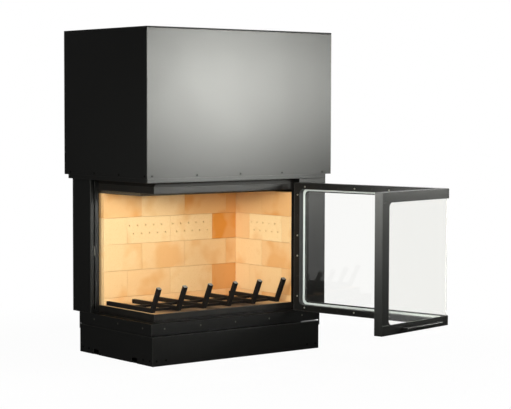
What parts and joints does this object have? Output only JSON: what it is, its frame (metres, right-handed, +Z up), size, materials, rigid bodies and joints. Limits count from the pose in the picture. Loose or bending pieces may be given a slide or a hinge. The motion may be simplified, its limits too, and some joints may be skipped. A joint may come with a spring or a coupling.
{
  "type": "corner fireplace insert",
  "caption": "Corner wood-burning fireplace insert with a firebrick chamber open on two sides, a swinging glazed corner door, a lifting gear in an upper casing and a plinth.",
  "frame": {"origin": "on the floor, under the middle of the upper casing's plan", "axes": "+Z up to the flue; -Y is the front with the wide opening; -X is the side with the narrow opening; the door stands open towards -Y"},
  "size_m": [0.9732, 1.4608, 1.373],
  "materials": {
    "black_coat": "satin",
    "inner_steel": "matte",
    "grate_steel": "satin",
    "firebrick": "matte",
    "baffle_board": "matte",
    "clear_glass": "clear",
    "white_gasket": "matte",
    "zinc_screw": "satin",
    "dark_screw": "satin",
    "zinc_sheet": "satin",
    "gear_steel": "satin"
  },
  "bodies": {
    "frame": {"plinth_floor": "black_coat", "plinth_front": "black_coat", "plinth_left": "black_coat", "plinth_right": "black_coat", "plinth_rear": "black_coat", "deck_plate": "black_coat", "air_spigot": "zinc_sheet", "fascia_front": "black_coat", "fascia_left": "black_coat", "hearth_plate": "inner_steel", "hearth_bearers": "inner_steel", "back_bricks": "firebrick", "right_bricks": "firebrick", "air_bricks": "firebrick", "floor_bricks": "firebrick", "baffle_plate": "baffle_board", "sill_front": "inner_steel", "sill_left": "inner_steel", "head_front": "inner_steel", "head_left": "inner_steel", "right_jamb": "inner_steel", "left_column": "black_coat", "rear_panel": "black_coat", "right_panel": "black_coat", "right_column_front": "black_coat", "back_liner": "inner_steel", "right_liner": "inner_steel", "hood_plates": "inner_steel", "hood_cover": "inner_steel", "flue_socket": "inner_steel", "casing_front": "black_coat", "casing_left": "black_coat", "casing_right": "black_coat", "casing_rear": "black_coat", "casing_lid": "black_coat", "casing_trim": "black_coat", "dark_screws": "dark_screw", "fascia_screws": "zinc_screw", "hinge_pintles": "inner_steel", "runner_rails": "gear_steel", "lift_chains": "gear_steel", "shaft_bearings": "gear_steel"},
    "door": {"door_stile": "black_coat", "door_top_rail": "black_coat", "door_bottom_rail": "black_coat", "side_stile": "black_coat", "side_top_rail": "black_coat", "side_bottom_rail": "black_coat", "side_glass": "clear_glass", "front_glass": "clear_glass", "glass_retainers": "black_coat", "glass_gaskets": "white_gasket", "retainer_screws": "zinc_screw", "door_handle": "black_coat"},
    "lift_carriages": {"door_carriages": "gear_steel"},
    "counterweights": {"counterweights": "gear_steel"},
    "chain_shaft": {"chain_shaft": "gear_steel"},
    "air_flap": {"air_flap": "gear_steel"},
    "log_grate": {"grate_bars": "grate_steel", "grate_ties": "grate_steel"}
  },
  "joints": [
    {"name": "door_swing", "type": "hinge", "parent": "frame", "child": "door", "pos_m": [0.316, -0.302, 0.454], "axis": [0, 0, 1], "range_deg": [-101.3, 8]},
    {"name": "door_lift", "type": "slide", "parent": "frame", "child": "lift_carriages", "axis": [0, 0, 1], "range_m": [0, 0.5], "deforming": ["lift_chains"]},
    {"name": "weight_travel", "type": "slide", "parent": "frame", "child": "counterweights", "axis": [0, 0, 1], "range_m": [-0.5, 0]},
    {"name": "shaft_turn", "type": "hinge", "parent": "frame", "child": "chain_shaft", "pos_m": [0, 0.238, 1.31], "axis": [1, 0, 0], "range_deg": [-1432.5, 0]},
    {"name": "air_flap_turn", "type": "hinge", "parent": "frame", "child": "air_flap", "pos_m": [0, 0.128, 0.1], "axis": [1, 0, 0], "range_deg": [0, 90]},
    {"name": "grate_lift", "type": "slide", "parent": "frame", "child": "log_grate", "axis": [0, 0, 1], "range_m": [0, 0.25]}
  ],
  "couplings": [
    {"joint": "weight_travel", "follows": "door_lift", "ratio": -1},
    {"joint": "shaft_turn", "follows": "door_lift", "rad_per_m": -50}
  ]
}
